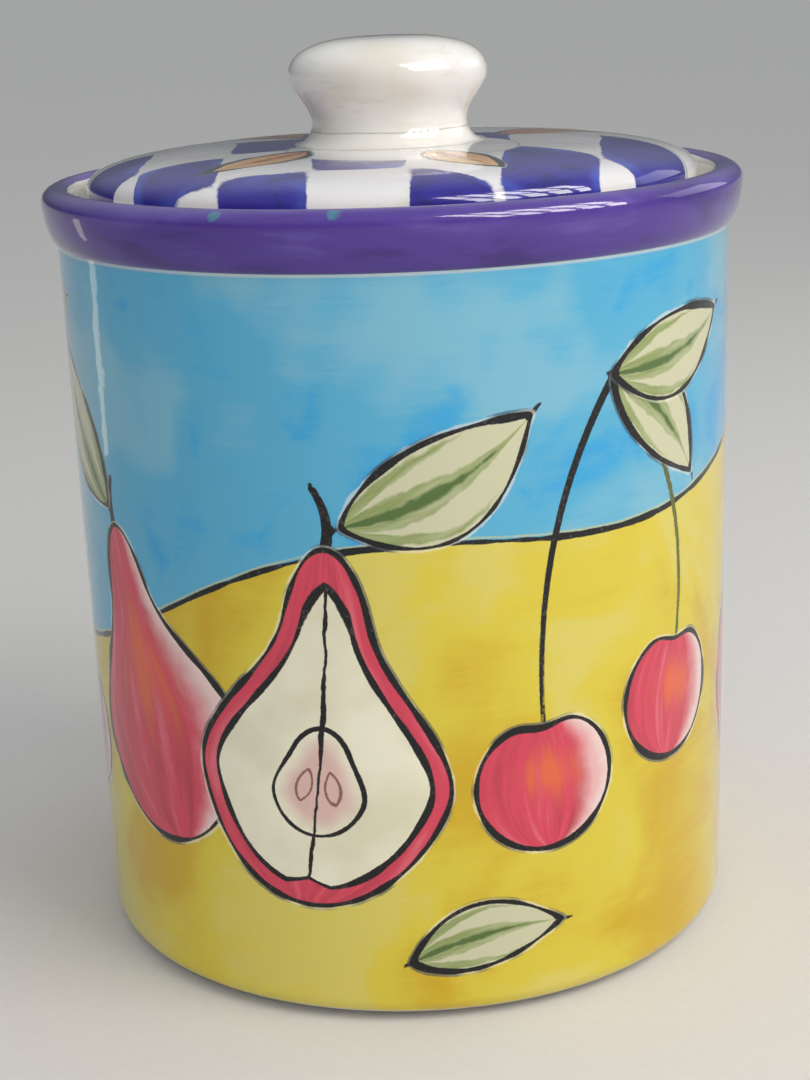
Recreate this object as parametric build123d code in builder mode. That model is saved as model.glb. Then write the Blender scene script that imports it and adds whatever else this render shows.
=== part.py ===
from build123d import *
import os

# A biscuit jar in glazed earthenware: a straight-sided jar with a rolled rim, and a round lid that drops
# inside the rim and sits on an inner ledge, the gallery. The clay parts are formed one by one and luted
# together before the glaze firing: floor and wall, foot ring, rim bead and gallery make the jar, and dome,
# locating flange and knob make the lid.
#
# Millimetres. +Z is up, the jar's own axis is Z, and the origin is at the middle of the foot's underside.

# --- Driving dimensions: jar ---
base_radius = 86.4          # outside of the wall just above the base
top_radius = 88.0           # outside of the wall just under the rim bead
wall_height = 186.5         # from the underside of the base to the rim bead
wall_thickness = 4.5
floor_thickness = 6.0
base_corner_radius = 5.0    # outer corner between wall and base
inner_corner_radius = 8.0   # inner corner between wall and floor

foot_height = 1.5           # how far the foot ring lifts the base
foot_inset = 8.4            # from the outside of the wall in to the foot ring
foot_width = 7.0
foot_edge_radius = 0.5

bead_height = 14.5          # from its lower edge to the crest
bead_overhang = 3.5         # how far its widest point stands out from the wall
bead_crest_drop = 3.5       # from the crest down to the widest point
bead_cap_height = 3.0       # thickness of the bead over the top of the wall
bead_crest_inset = 3.5      # from the inside of the wall out to the crest

gallery_drop = 7.0          # from the crest of the rim down to the ledge
gallery_width = 9.5
gallery_lip = 4.5           # thickness of the ledge at its inner edge
gallery_bracket = 8.0       # how much further down the ledge tapers into the wall
gallery_edge_radius = 1.0

# --- Driving dimensions: lid ---
lid_gap = 3.8               # between the lid's edge and the inside of the rim
lid_edge_level = 4.5        # widest point of the lid, above the ledge
lid_edge_roll = 2.5         # how far the edge rolls in below its widest point
lid_rise = 14.3             # from the ledge to the flat seat of the knob on the crown
lid_shoulder_width = 17.8   # half-axes of the elliptical shoulder
lid_shoulder_height = 8.1
lid_shoulder_sweep = 84     # degrees of that ellipse before the crown takes over
lid_thickness = 6.0         # under the knob
lid_hollow_shoulder = 18.0  # width of the curve where the hollow meets the flange

flange_clearance = 0.8      # between the flange and the inner edge of the gallery
flange_thickness = 4.7
flange_depth = 10.0
flange_edge_radius = 1.5

knob_radius = 25.9
knob_height = 27.0          # above its seat on the crown
knob_widest_level = 17.7    # above its seat
knob_edge_width = 13.5      # width of the rounded edge around the flat top
knob_neck_radius = 20.3
knob_neck_level = 5.5       # above its seat
knob_foot_radius = 25.0     # where the neck flares out onto the crown
knob_foot_edge = 0.3        # thickness of the flare where it ends

# --- Levels and radii that follow from them ---
base_level = foot_height
floor_level = base_level + floor_thickness
bead_low_level = base_level + wall_height
crest_level = bead_low_level + bead_height
bead_widest_level = crest_level - bead_crest_drop
wall_top_level = crest_level - bead_cap_height

rim_inner_radius = top_radius - wall_thickness
base_inner_radius = base_radius - wall_thickness
bead_radius = top_radius + bead_overhang
crest_radius = rim_inner_radius + bead_crest_inset

gallery_level = crest_level - gallery_drop
gallery_lip_level = gallery_level - gallery_lip
gallery_low_level = gallery_lip_level - gallery_bracket
gallery_radius = rim_inner_radius - gallery_width

foot_outer_radius = base_radius - foot_inset
foot_inner_radius = foot_outer_radius - foot_width

lid_radius = rim_inner_radius - lid_gap
lid_widest_level = gallery_level + lid_edge_level
crown_level = gallery_level + lid_rise
shoulder_radius = lid_radius - lid_shoulder_width
hollow_level = crown_level - lid_thickness

flange_radius = gallery_radius - flange_clearance
flange_inner_radius = flange_radius - flange_thickness
flange_low_level = gallery_level - flange_depth
hollow_flat_radius = flange_inner_radius - lid_hollow_shoulder

knob_top_level = crown_level + knob_height
knob_widest = crown_level + knob_widest_level
knob_neck = crown_level + knob_neck_level
knob_flat_radius = knob_radius - knob_edge_width
waist_middle = ((knob_radius + knob_neck_radius) / 2, (knob_widest + knob_neck) / 2)


# --- Jar: floor and wall, one thrown or cast cup with a slight outward draft ---
with BuildPart() as jar_body:
    with BuildSketch(Plane.XZ) as cup_profile:
        with BuildLine():
            Polyline(
                (0, base_level),
                (base_radius, base_level),
                (top_radius, bead_low_level),
                (top_radius, wall_top_level),
                (rim_inner_radius, wall_top_level),
                (rim_inner_radius, gallery_low_level),
                (base_inner_radius, floor_level),
                (0, floor_level),
                close=True,
            )
        make_face()
        outer_corner = cup_profile.vertices().group_by(Axis.Y)[0].sort_by(Axis.X)[-1]
        inner_corner = cup_profile.vertices().group_by(Axis.Y)[1].sort_by(Axis.X)[-1]
        fillet(outer_corner, base_corner_radius)
        fillet(inner_corner, inner_corner_radius)
    revolve(axis=Axis.Z)


# --- Foot ring: wiped clean of glaze, it carries the jar ---
with BuildPart() as foot_ring:
    with BuildSketch():
        Circle(foot_outer_radius)
        Circle(foot_inner_radius, mode=Mode.SUBTRACT)
    extrude(amount=foot_height)
    fillet(foot_ring.edges().group_by(Axis.Z)[0], foot_edge_radius)


# --- Rim bead: the thick roll that caps the wall and hangs outside it ---
with BuildPart() as rim_bead:
    with BuildSketch(Plane.XZ):
        with BuildLine():
            Polyline(
                (top_radius, bead_low_level),
                (top_radius, wall_top_level),
                (rim_inner_radius, wall_top_level),
            )
            EllipticalCenterArc(
                (crest_radius, wall_top_level),
                bead_crest_inset,
                bead_cap_height,
                start_angle=90,
            )
            EllipticalCenterArc(
                (crest_radius, bead_widest_level),
                bead_radius - crest_radius,
                bead_crest_drop,
                start_angle=0,
            )
            EllipticalCenterArc(
                (top_radius, bead_widest_level),
                bead_overhang,
                bead_height - bead_crest_drop,
                start_angle=270,
            )
        make_face()
    revolve(axis=Axis.Z)


# --- Gallery: the ledge inside the rim that the lid sits on ---
with BuildPart() as lid_gallery:
    with BuildSketch(Plane.XZ) as gallery_profile:
        with BuildLine():
            Polyline(
                (rim_inner_radius, gallery_level),
                (gallery_radius, gallery_level),
                (gallery_radius, gallery_lip_level),
                (rim_inner_radius, gallery_low_level),
                close=True,
            )
        make_face()
        fillet(gallery_profile.vertices().group_by(Axis.X)[0], gallery_edge_radius)
    revolve(axis=Axis.Z)


# --- Lid dome: a low crown with a full, round shoulder, hollow underneath ---
with BuildPart() as lid_dome:
    with BuildSketch(Plane.XZ):
        with BuildLine():
            Polyline(
                (flange_inner_radius, gallery_level),
                (lid_radius - lid_edge_roll, gallery_level),
            )
            EllipticalCenterArc(
                (lid_radius - lid_edge_roll, lid_widest_level),
                lid_edge_roll,
                lid_edge_level,
                start_angle=270,
            )
            shoulder = EllipticalCenterArc(
                (shoulder_radius, lid_widest_level),
                lid_shoulder_width,
                lid_shoulder_height,
                start_angle=0,
                arc_size=lid_shoulder_sweep,
            )
            TangentArc(shoulder @ 1, (knob_foot_radius, crown_level), tangent=shoulder % 1)
            Polyline(
                (knob_foot_radius, crown_level),
                (0, crown_level),
                (0, hollow_level),
                (hollow_flat_radius, hollow_level),
            )
            EllipticalCenterArc(
                (hollow_flat_radius, gallery_level),
                lid_hollow_shoulder,
                hollow_level - gallery_level,
                start_angle=0,
            )
        make_face()
    revolve(axis=Axis.Z)


# --- Lid flange: the ring under the lid that keeps it centred in the gallery ---
with BuildPart() as lid_flange:
    with BuildSketch(Plane.XY.offset(flange_low_level)):
        Circle(flange_radius)
        Circle(flange_inner_radius, mode=Mode.SUBTRACT)
    extrude(amount=flange_depth)
    fillet(lid_flange.edges().group_by(Axis.Z)[0], flange_edge_radius)


# --- Knob: a solid waisted grip luted onto the crown ---
with BuildPart() as lid_knob:
    with BuildSketch(Plane.XZ):
        with BuildLine():
            Polyline(
                (knob_foot_radius, crown_level),
                (0, crown_level),
                (0, knob_top_level),
                (knob_flat_radius, knob_top_level),
            )
            EllipticalCenterArc(
                (knob_flat_radius, knob_widest),
                knob_edge_width,
                knob_top_level - knob_widest,
                start_angle=0,
            )
            TangentArc((knob_radius, knob_widest), waist_middle, tangent=(0, -1))
            TangentArc((knob_neck_radius, knob_neck), waist_middle, tangent=(0, 1))
            EllipticalCenterArc(
                (knob_foot_radius, knob_neck),
                knob_foot_radius - knob_neck_radius,
                knob_neck_level - knob_foot_edge,
                start_angle=180,
            )
            Line((knob_foot_radius, crown_level + knob_foot_edge), (knob_foot_radius, crown_level))
        make_face()
    revolve(axis=Axis.Z)


# --- Labels and files, one STEP for each sub-part ---
jar_body.part.label = "jar_body"
foot_ring.part.label = "foot_ring"
rim_bead.part.label = "rim_bead"
lid_gallery.part.label = "lid_gallery"
lid_dome.part.label = "lid_dome"
lid_flange.part.label = "lid_flange"
lid_knob.part.label = "lid_knob"

os.makedirs("parts", exist_ok=True)
export_step(jar_body.part, "parts/jar_body.step")
export_step(foot_ring.part, "parts/foot_ring.step")
export_step(rim_bead.part, "parts/rim_bead.step")
export_step(lid_gallery.part, "parts/lid_gallery.step")
export_step(lid_dome.part, "parts/lid_dome.step")
export_step(lid_flange.part, "parts/lid_flange.step")
export_step(lid_knob.part, "parts/lid_knob.step")
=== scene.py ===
"""A biscuit jar in hand-painted, glazed earthenware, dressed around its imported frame.

Wall, rim, gallery and foot make the jar; cap, locating ring and grip make the lid. Each is a surface of
revolution worked out with numpy. The painting on wall and lid is kept as distances to brushed shapes, one set
of values for each vertex, and the glaze materials turn those distances into strokes.
"""

import logging
import math
from dataclasses import dataclass, field
from enum import Enum

import bpy
import numpy as np
from mathutils import Matrix, Vector

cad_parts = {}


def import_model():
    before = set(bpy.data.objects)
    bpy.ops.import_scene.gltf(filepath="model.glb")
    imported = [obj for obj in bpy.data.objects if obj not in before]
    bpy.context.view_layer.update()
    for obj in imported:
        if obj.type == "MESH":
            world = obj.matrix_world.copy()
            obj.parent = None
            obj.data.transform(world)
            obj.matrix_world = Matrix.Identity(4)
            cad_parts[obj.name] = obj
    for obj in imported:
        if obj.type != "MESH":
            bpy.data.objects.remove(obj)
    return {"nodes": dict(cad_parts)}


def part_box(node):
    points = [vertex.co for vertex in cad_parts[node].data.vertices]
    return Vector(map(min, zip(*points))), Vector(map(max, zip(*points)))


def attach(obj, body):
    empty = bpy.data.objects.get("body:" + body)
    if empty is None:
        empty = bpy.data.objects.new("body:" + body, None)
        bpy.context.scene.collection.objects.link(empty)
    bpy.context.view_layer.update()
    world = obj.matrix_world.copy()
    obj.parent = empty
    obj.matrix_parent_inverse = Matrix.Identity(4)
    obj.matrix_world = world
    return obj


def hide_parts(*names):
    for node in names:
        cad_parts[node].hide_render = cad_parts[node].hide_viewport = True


Material = bpy.types.Material
Pair = tuple[float, float]      # mm: radius and level of a profile, or a place on the unrolled surface
Ramp = tuple[float, ...]        # a mask: what it reads from and to, then its low and high if not 0 and 1
Socket = bpy.types.NodeSocket
Triple = tuple[float, float, float]

LOG = logging.getLogger("biscuit_jar")
MM = 0.001
FAR = 30.0                      # mm, the distance given to everything that no painted shape is near


# --- Small tools ---


def linear(colour: str) -> tuple[float, float, float, float]:
    """Turn an sRGB colour, six hex digits after a hash sign, into linear RGBA with an alpha of 1."""
    channels = [int(colour[start:start + 2], 16) / 255 for start in (1, 3, 5)]
    curve = [c / 12.92 if c <= 0.04045 else ((c + 0.055) / 1.055) ** 2.4 for c in channels]
    return (curve[0], curve[1], curve[2], 1.0)


def per_mm(size: float) -> float:
    """Noise scale, per metre, whose features are about this many millimetres wide."""
    return 1 / (size * MM)


def line(start: Pair, end: Pair) -> np.ndarray:
    """Straight run of a profile: its two ends as an array of (radius, level) rows, in mm."""
    return np.array([start, end], float)


def arc(centre: Pair, axes: Pair, start: float, end: float, power: float = 2.0) -> np.ndarray:
    """Arc of a superellipse, |x/a|^n + |y/b|^n = 1, from one angle to another.

    Args:
        centre: its middle, (radius, level) in mm.
        axes: the half-axes a and b in mm.
        start: first angle in degrees, 0 outwards and 90 up.
        end: last angle in degrees.
        power: the exponent n, 2 for a plain ellipse.

    Returns:
        Rows of (radius, level).
    """
    angle = np.radians(np.linspace(start, end, 60))
    cosine, sine = np.cos(angle), np.sin(angle)
    x = np.sign(cosine) * np.abs(cosine) ** (2 / power)
    y = np.sign(sine) * np.abs(sine) ** (2 / power)
    return np.column_stack([centre[0] + axes[0] * x, centre[1] + axes[1] * y])


def even(points: np.ndarray, spacing: float) -> np.ndarray:
    """Place points along a run again, at even steps of at most this spacing in mm, both ends kept."""
    steps = np.hypot(*np.diff(points, axis=0).T)
    length = np.concatenate([[0.0], np.cumsum(steps)])
    count = max(2, int(math.ceil(length[-1] / spacing)) + 1)
    where = np.linspace(0, length[-1], count)
    return np.column_stack([np.interp(where, length, points[:, axis]) for axis in (0, 1)])


def profile(*runs: np.ndarray) -> np.ndarray:
    """Join runs end to end and drop each point that repeats the one before it."""
    points = np.concatenate(runs)
    keep = np.concatenate([[True], np.hypot(*np.diff(points, axis=0).T) > 1e-6])
    return points[keep]


@dataclass(frozen=True)
class Hand:
    """Unevenness of hand-finished clay: a slow in-and-out of the radius around the pot and up it."""

    oval: float = 0.16          # mm, two lobes around
    lobes: float = 0.09         # mm, five lobes that lean as they rise
    phase: float = 0.7
    lean: float = 34.0          # mm of height for one radian of lean
    full: float = 60.0          # mm, the radius from which it is full

    def shift(self, radius: np.ndarray, angle: np.ndarray, level: np.ndarray) -> np.ndarray:
        """Change of radius in mm, never outwards, so that the pot stays inside its true size."""
        oval = self.oval * (np.cos(2 * angle + self.phase) - 1)
        lobes = self.lobes * (np.sin(5 * angle + level / self.lean) - 1)
        return np.clip(radius / self.full, 0, 1) * (oval + lobes)


@dataclass
class Revolved:
    """A closed solid of revolution as one mesh.

    A vertex is (r cos a, r sin a, z), with (r, z) from the profile, in mm, and a from even turns around Z.
    The profile runs so that the clay is on its left. Where it starts and ends on the axis, both poles are
    closed by one vertex each, and otherwise its last row joins its first.
    """

    outline: np.ndarray
    columns: int = 240
    hand: Hand = field(default_factory=Hand)
    sharp: float = 50.0         # degrees between faces from which a corner stays hard

    def __post_init__(self) -> None:
        """Tell the poles from the points that make a ring of vertices each."""
        self.poles = bool(self.outline[0, 0] < 1e-6 and self.outline[-1, 0] < 1e-6)
        self.rows = self.outline[1:-1] if self.poles else self.outline

    def points(self) -> np.ndarray:
        """All vertices in mm, the rows of the profile one after another, poles last."""
        angle = np.linspace(0, 2 * np.pi, self.columns, endpoint=False)[None, :]
        level = np.broadcast_to(self.rows[:, 1:2], (len(self.rows), self.columns))
        radius = self.rows[:, 0:1] + self.hand.shift(self.rows[:, 0:1], angle, level)
        grid = np.stack([radius * np.cos(angle), radius * np.sin(angle), level], axis=-1).reshape(-1, 3)
        if not self.poles:
            return grid
        return np.concatenate([grid, [[0, 0, self.outline[0, 1]], [0, 0, self.outline[-1, 1]]]])

    def faces(self) -> list[list[int]]:
        """Quads between neighbouring rings, and a fan of triangles at each pole."""
        rows, columns = len(self.rows), self.columns
        last = rows - 1 if self.poles else rows
        row, column = np.meshgrid(np.arange(last), np.arange(columns), indexing="ij")
        here, above = row * columns, (row + 1) % rows * columns
        beside = (column + 1) % columns
        quads = np.stack([here + column, here + beside, above + beside, above + column], axis=-1)
        quads = quads.reshape(-1, 4)
        if not self.poles:
            return quads.tolist()
        ring = np.arange(columns)
        after = (ring + 1) % columns
        top, pole = (rows - 1) * columns, rows * columns
        start_fan = np.column_stack([after, ring, np.full(columns, pole)])
        end_fan = np.column_stack([top + ring, top + after, np.full(columns, pole + 1)])
        return quads.tolist() + start_fan.tolist() + end_fan.tolist()

    def build(self, name: str, values: dict[str, np.ndarray] | None = None) -> bpy.types.Object:
        """Make the object, smooth except at hard corners.

        Args:
            name: the piece's name.
            values: one number or one vector for each vertex, by attribute name.

        Returns:
            The new object, at the origin, its place in its mesh.
        """
        mesh = bpy.data.meshes.new(name)
        mesh.from_pydata((self.points() * MM).tolist(), [], self.faces())
        mesh.shade_smooth()
        mesh.set_sharp_from_angle(angle=math.radians(self.sharp))
        for key, numbers in (values or {}).items():
            form, slot = ("FLOAT", "value") if numbers.ndim == 1 else ("FLOAT_VECTOR", "vector")
            layer = mesh.attributes.new(key, form, "POINT")
            layer.data.foreach_set(slot, numbers.astype(np.float32).ravel())
        piece = bpy.data.objects.new(name, mesh)
        bpy.context.scene.collection.objects.link(piece)
        return piece


# --- Painting: brushed shapes as distances ---


class Kind(Enum):
    """What a painted shape is, as the number that its material tests."""

    LEAF = 0.0
    WHOLE_FRUIT = 1.0
    HALVED_FRUIT = 2.0


class Coat(Enum):
    """Order of painting: shapes in FRONT cover those in BACK."""

    BACK = "back"
    FRONT = "front"


def closed_distance(points: np.ndarray, outline: np.ndarray) -> np.ndarray:
    """Signed distance from points to a closed outline, negative inside.

    Each point is projected on every straight side, clamped to its ends, and the nearest wins. A point is
    inside when a level line from it to the right crosses the outline an odd number of times.
    """
    side = np.roll(outline, -1, axis=0) - outline
    offset = points[:, None, :] - outline[None, :, :]
    share = np.clip((offset * side).sum(-1) / np.maximum((side * side).sum(-1), 1e-9), 0, 1)
    distance = np.sqrt(((offset - share[..., None] * side) ** 2).sum(-1).min(1))
    low, high = outline[:, 1], outline[:, 1] + side[:, 1]
    level = points[:, 1:2]
    spans = (low > level) != (high > level)
    slope = side[:, 0] / np.where(np.abs(side[:, 1]) < 1e-9, 1e-9, side[:, 1])
    crossing = outline[:, 0] + (level - low) * slope
    inside = (spans & (crossing > points[:, 0:1])).sum(1) % 2 == 1
    return np.where(inside, -distance, distance)


def unrolled(offset: np.ndarray, around: float | None) -> np.ndarray:
    """Take offsets the short way around a surface that closes on itself after this many mm."""
    if around is not None:
        offset[..., 0] = (offset[..., 0] + around / 2) % around - around / 2
    return offset


def half_width(x: np.ndarray, pointed: bool, neck: float) -> np.ndarray:
    """Half-width of a leaf or fruit at x, 0 at its foot and 1 at its tip, as a share of its largest.

    A leaf's goes as x^0.85 (1 - x), pointed at both ends. A fruit's goes as the square root of x (1 - x), and
    is narrowed above its lower third for a neck.
    """
    def shape(t: np.ndarray) -> np.ndarray:
        """The same before it is scaled."""
        if pointed:
            return t ** 0.85 * (1 - t)
        rise = np.clip((t - 0.3) / 0.5, 0, 1)
        return np.sqrt(t * (1 - t)) * (1 - neck * rise * rise * (3 - 2 * rise))

    return shape(x) / shape(np.linspace(0, 1, 400)).max()


def symmetric_outline(
    length: float, width: float, pointed: bool = False, neck: float = 0, dimple: float = 0, count: int = 80
) -> np.ndarray:
    """Outline of a shape that is even about its own axis, as rows of (across, along) in mm.

    Its half-width is half_width(x), with x from 0 at the foot to 1 at the tip, and its top is drawn down near
    the axis for a dimple.
    """
    x = (1 - np.cos(np.linspace(0, np.pi, count))) / 2
    half = half_width(x, pointed, neck) * width / 2
    dip = dimple * length * np.exp(-((half / (0.18 * width)) ** 2)) * (x > 0.5)
    right = np.column_stack([half, length * x - dip])
    return np.concatenate([right, (right * (-1, 1))[::-1][1:-1]])


@dataclass(frozen=True)
class Motif:
    """One painted leaf or fruit, placed on the unrolled surface in mm."""

    kind: Kind
    place: Pair                     # its foot: mm around (or across a lid) and mm up
    lean: float                     # degrees clockwise from upright
    length: float
    width: float
    coat: Coat = Coat.FRONT
    bend: float = 0.0               # mm that the middle of its axis bows to the right
    neck: float = 0.0
    dimple: float = 0.0
    tint: float = 0.0               # 0 to 1, its own shade of its colour

    def local(self, surface: np.ndarray, around: float | None) -> np.ndarray:
        """Rows of (across, along) in mm of every surface point, its bowed axis made straight."""
        offset = unrolled(surface - np.array(self.place), around)
        lean = math.radians(self.lean)
        along = offset[:, 0] * math.sin(lean) + offset[:, 1] * math.cos(lean)
        across = offset[:, 0] * math.cos(lean) - offset[:, 1] * math.sin(lean)
        x = np.clip(along / self.length, 0, 1)
        return np.column_stack([across - 4 * self.bend * x * (1 - x), along])

    def on_surface(self, along: float) -> Pair:
        """Place on the unrolled surface of a point on the axis, this many mm from the foot."""
        lean = math.radians(self.lean)
        x = along / self.length
        across = 4 * self.bend * x * (1 - x)
        return (
            self.place[0] + along * math.sin(lean) + across * math.cos(lean),
            self.place[1] + along * math.cos(lean) - across * math.sin(lean),
        )

    def overshoots(self) -> list["Stem"]:
        """Where the two strokes of a leaf's outline run past each other at its tip and its foot."""
        ends = [(self.length - 3, self.length + 3.2), (2.5, -2.6)] if self.kind is Kind.LEAF else []
        return [Stem(*(self.on_surface(at) for at in (start, (start + end) / 2, end))) for start, end in ends]

    def brush_place(self, local: np.ndarray) -> np.ndarray:
        """Where a brush is in the shape: across it in shares of its half-width there, and along it in mm."""
        x = np.clip(local[:, 1] / self.length, 0.02, 0.98)
        half = half_width(x, self.kind is Kind.LEAF, self.neck) * self.width / 2
        share = np.clip(local[:, 0] / half, -1.5, 1.5)
        own_brush = 400 * self.tint     # mm, so that no two shapes streak alike
        return np.column_stack([share, local[:, 1] + own_brush, local[:, 1] / self.length])

    def outline(self) -> np.ndarray:
        """Its outline about its straightened axis."""
        return symmetric_outline(self.length, self.width, self.kind is Kind.LEAF, self.neck, self.dimple)

    def core(self) -> np.ndarray:
        """Outline of the core of a halved fruit."""
        return symmetric_outline(0.43 * self.width, 0.36 * self.width, neck=0.3) + (0, 0.2 * self.length)

    def seeds(self) -> list[np.ndarray]:
        """Outlines of the two seeds, one each side of the axis and leaning apart at the top."""
        seed = symmetric_outline(0.14 * self.width, 0.06 * self.width, pointed=True, count=24)
        out, up = 0.07 * self.width, 0.2 * self.length + 0.13 * self.width
        lean = math.radians(-12)
        turned = []
        for side in (-1, 1):
            x = seed[:, 0] * math.cos(lean) + side * seed[:, 1] * math.sin(lean)
            y = seed[:, 1] * math.cos(lean) - side * seed[:, 0] * math.sin(lean)
            turned.append(np.column_stack([x + side * out, y + up]))
        return turned


@dataclass(frozen=True)
class Stem:
    """A brushed stem along a curve bent by one middle point, tapering to its end."""

    start: Pair
    middle: Pair
    end: Pair
    width: float = 1.7
    tone: float = 0.0               # 0 black, 1 olive

    def distance(self, surface: np.ndarray, around: float | None) -> np.ndarray:
        """Distance in mm from each surface point to the stroke's edge, negative on the stroke."""
        t = np.linspace(0, 1, 28)[:, None]
        start, middle, end = (np.array(point) for point in (self.start, self.middle, self.end))
        path = (1 - t) ** 2 * start + 2 * t * (1 - t) * middle + t * t * end
        offset = unrolled(surface[:, None, :] - path[None, :-1, :], around)
        run = np.diff(path, axis=0)
        share = np.clip((offset * run).sum(-1) / (run * run).sum(-1), 0, 1)
        distance = np.sqrt(((offset - share[..., None] * run) ** 2).sum(-1))
        taper = 1 - 0.45 * (np.arange(len(run)) + share) / len(run)
        return (distance - self.width / 2 * taper).min(1)


@dataclass
class Painting:
    """Every painted shape on one surface, and the values that its material reads."""

    motifs: list[Motif]
    stems: list[Stem] = field(default_factory=list)
    around: float | None = None     # mm once around, where the surface closes on itself

    def values(self, surface: np.ndarray) -> dict[str, np.ndarray]:
        """Work out all attributes.

        Args:
            surface: rows of the unrolled place of each vertex in mm.

        Returns:
            For each coat its edge distance, kind, local place and core and seed distances, and for the stems
            their distance and tone.
        """
        count = len(surface)
        values = {"stem_edge": np.full(count, FAR), "stem_tone": np.zeros(count)}
        for coat in Coat:
            values[f"{coat.value}_edge"] = np.full(count, FAR)
            values[f"{coat.value}_kind"] = np.zeros(count)
            values[f"{coat.value}_place"] = np.zeros((count, 3))
            values[f"{coat.value}_inner"] = np.full((count, 3), FAR)
        overshoots = [stroke for motif in self.motifs for stroke in motif.overshoots()]
        for stem in self.stems + overshoots:
            distance = stem.distance(surface, self.around)
            nearer = distance < values["stem_edge"]
            values["stem_edge"][nearer] = distance[nearer]
            values["stem_tone"][nearer] = stem.tone
        for motif in self.motifs:
            self.add(motif, surface, values)
        return values

    def add(self, motif: Motif, surface: np.ndarray, values: dict[str, np.ndarray]) -> None:
        """Write one motif's values wherever it is the nearest of its coat."""
        coat = motif.coat.value
        local = motif.local(surface, self.around)
        reach = max(motif.length, motif.width) * 0.6 + FAR / 2
        near = np.hypot(local[:, 0], local[:, 1] - motif.length / 2) < reach
        edge = np.full(len(surface), FAR)
        edge[near] = np.clip(closed_distance(local[near], motif.outline()), -FAR * 2, FAR)
        nearer = edge < values[f"{coat}_edge"]
        values[f"{coat}_edge"][nearer] = edge[nearer]
        values[f"{coat}_kind"][nearer] = motif.kind.value
        values[f"{coat}_place"][nearer] = motif.brush_place(local[nearer])
        inner = np.full((len(surface), 3), FAR)
        if motif.kind is Kind.HALVED_FRUIT:
            inside = edge < 0
            inner[inside, 0] = closed_distance(local[inside], motif.core())
            seeds = [closed_distance(local[inside], seed) for seed in motif.seeds()]
            inner[inside, 1] = np.minimum(*seeds)
            inner[inside, 2] = local[inside, 0]
        values[f"{coat}_inner"][nearer] = inner[nearer]


# --- Finishes ---


class Node(Enum):
    """Kinds of shader node, each with the one setting that it is used with."""

    ATTRIBUTE = ("ShaderNodeAttribute",)
    BACKGROUND = ("ShaderNodeBackground",)
    BUMP = ("ShaderNodeBump",)
    COORDINATES = ("ShaderNodeTexCoord",)
    MIX = ("ShaderNodeMix", "data_type", "RGBA")
    NOISE = ("ShaderNodeTexNoise",)
    OUTPUT = ("ShaderNodeOutputMaterial",)
    PRINCIPLED = ("ShaderNodeBsdfPrincipled",)
    RANGE = ("ShaderNodeMapRange",)
    SEPARATE = ("ShaderNodeSeparateXYZ",)
    SMOOTH = ("ShaderNodeMapRange", "interpolation_type", "SMOOTHSTEP")
    VORONOI = ("ShaderNodeTexVoronoi",)
    WORLD_OUTPUT = ("ShaderNodeOutputWorld",)

    ABSOLUTE = ("ShaderNodeMath", "operation", "ABSOLUTE")
    MINUS = ("ShaderNodeMath", "operation", "SUBTRACT")
    MORE = ("ShaderNodeMath", "operation", "GREATER_THAN")
    MOST = ("ShaderNodeMath", "operation", "MAXIMUM")
    PLUS = ("ShaderNodeMath", "operation", "ADD")
    SINE = ("ShaderNodeMath", "operation", "SINE")
    TIMES = ("ShaderNodeMath", "operation", "MULTIPLY")
    TIMES_PLUS = ("ShaderNodeMath", "operation", "MULTIPLY_ADD")

    V_APART = ("ShaderNodeVectorMath", "operation", "DISTANCE")
    V_LENGTH = ("ShaderNodeVectorMath", "operation", "LENGTH")
    V_MINUS = ("ShaderNodeVectorMath", "operation", "SUBTRACT")
    V_TIMES = ("ShaderNodeVectorMath", "operation", "MULTIPLY")
    V_TIMES_PLUS = ("ShaderNodeVectorMath", "operation", "MULTIPLY_ADD")


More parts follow.
